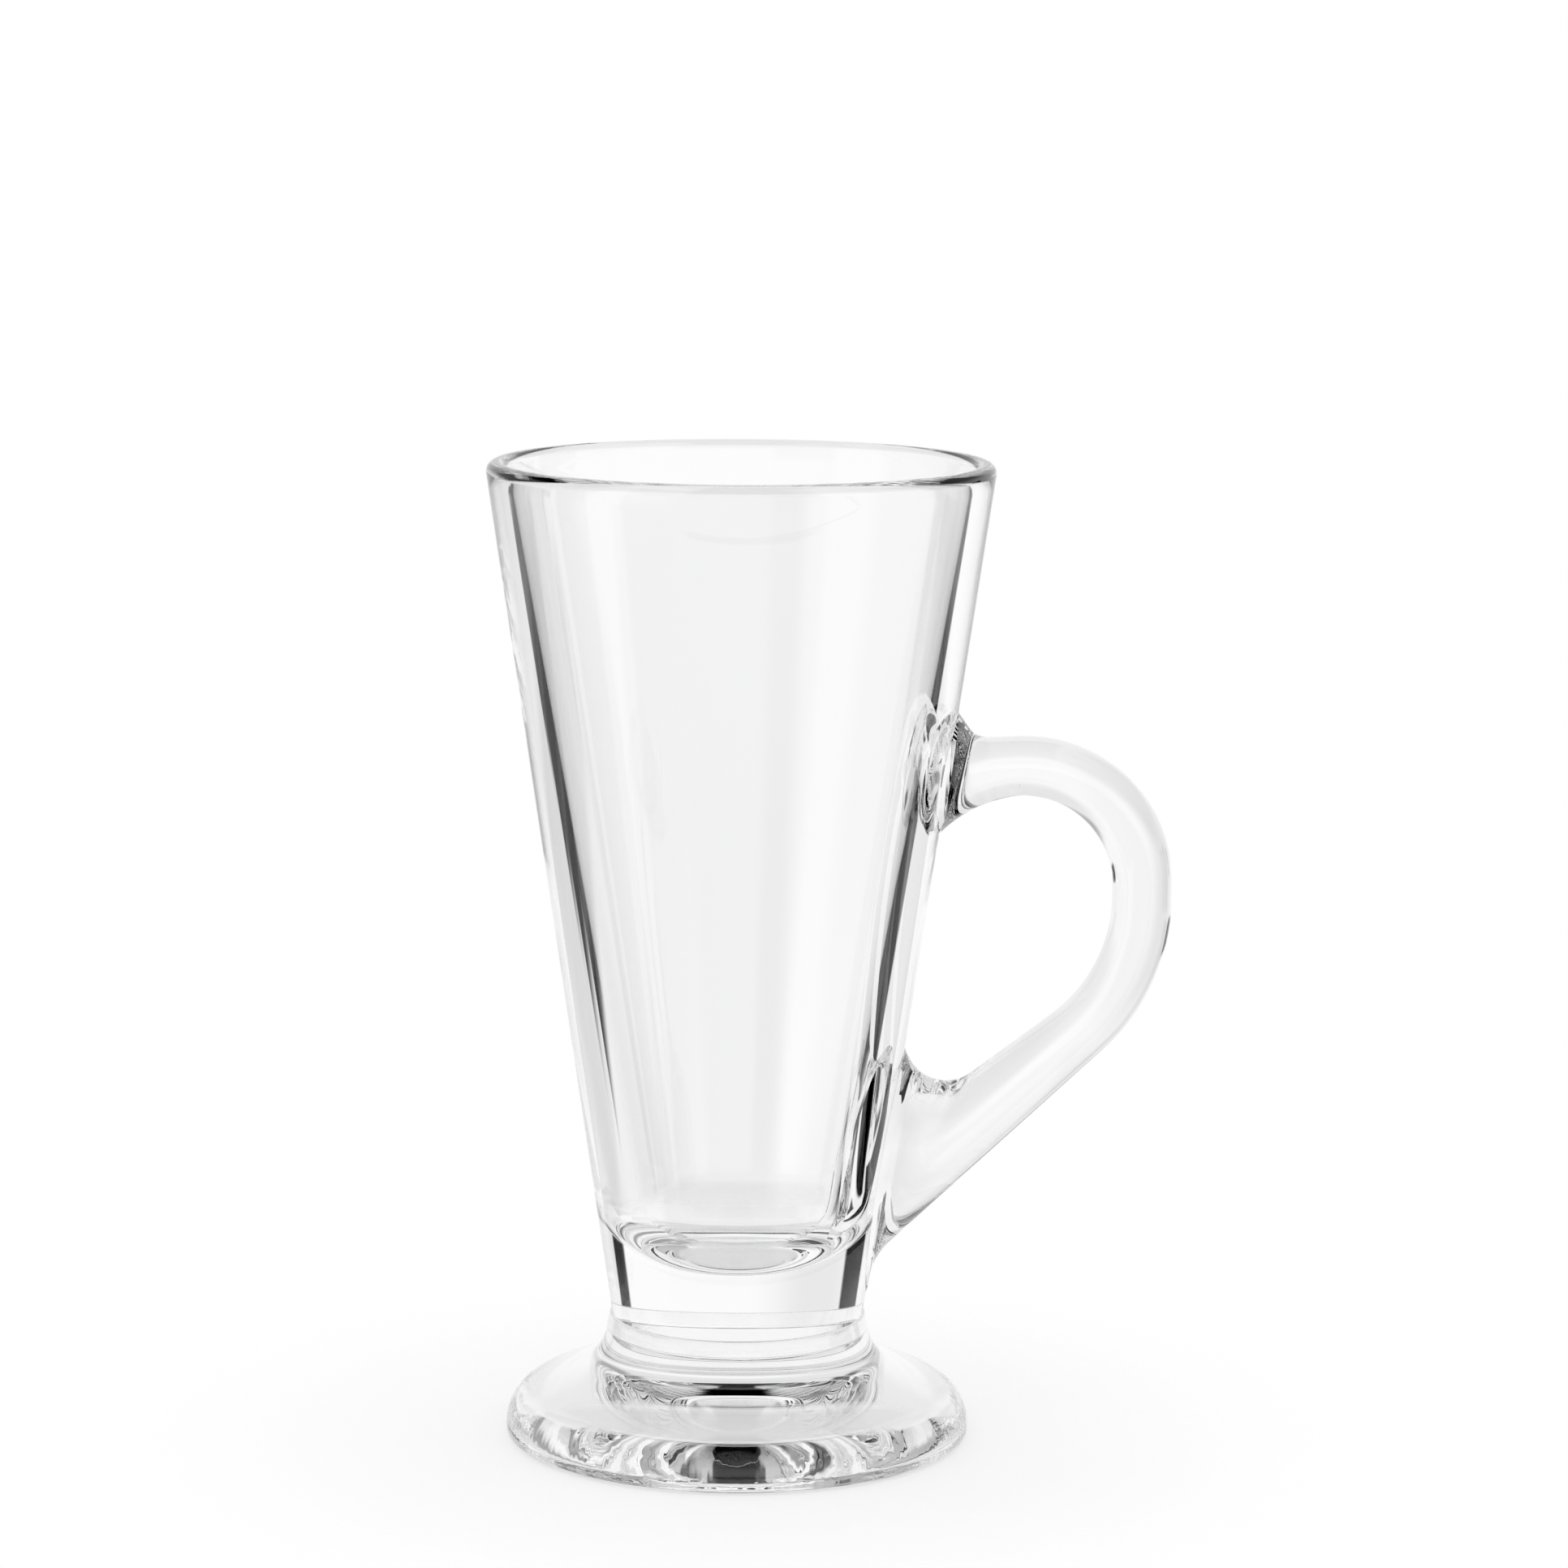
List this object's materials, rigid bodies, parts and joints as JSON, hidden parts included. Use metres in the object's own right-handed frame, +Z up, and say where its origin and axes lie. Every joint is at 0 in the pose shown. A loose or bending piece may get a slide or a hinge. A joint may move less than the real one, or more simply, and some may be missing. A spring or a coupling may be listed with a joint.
{
  "type": "irish coffee glass mug",
  "caption": "Footed clear glass mug for hot drinks: tapered conical bowl on a ring collar and a flared round foot, with an ear-shaped side handle.",
  "frame": {"origin": "centre of the foot's flat resting face, on the axis of the bowl", "axes": "+Z up the bowl's axis towards the rim, +X from the axis towards the handle, +Y to the back in the picture's view"},
  "size_m": [0.102, 0.075, 0.147],
  "materials": {
    "clear_glass": "polished"
  },
  "bodies": {
    "root": {"bowl": "clear_glass", "collar": "clear_glass", "foot": "clear_glass", "handle": "clear_glass"}
  },
  "joints": []
}
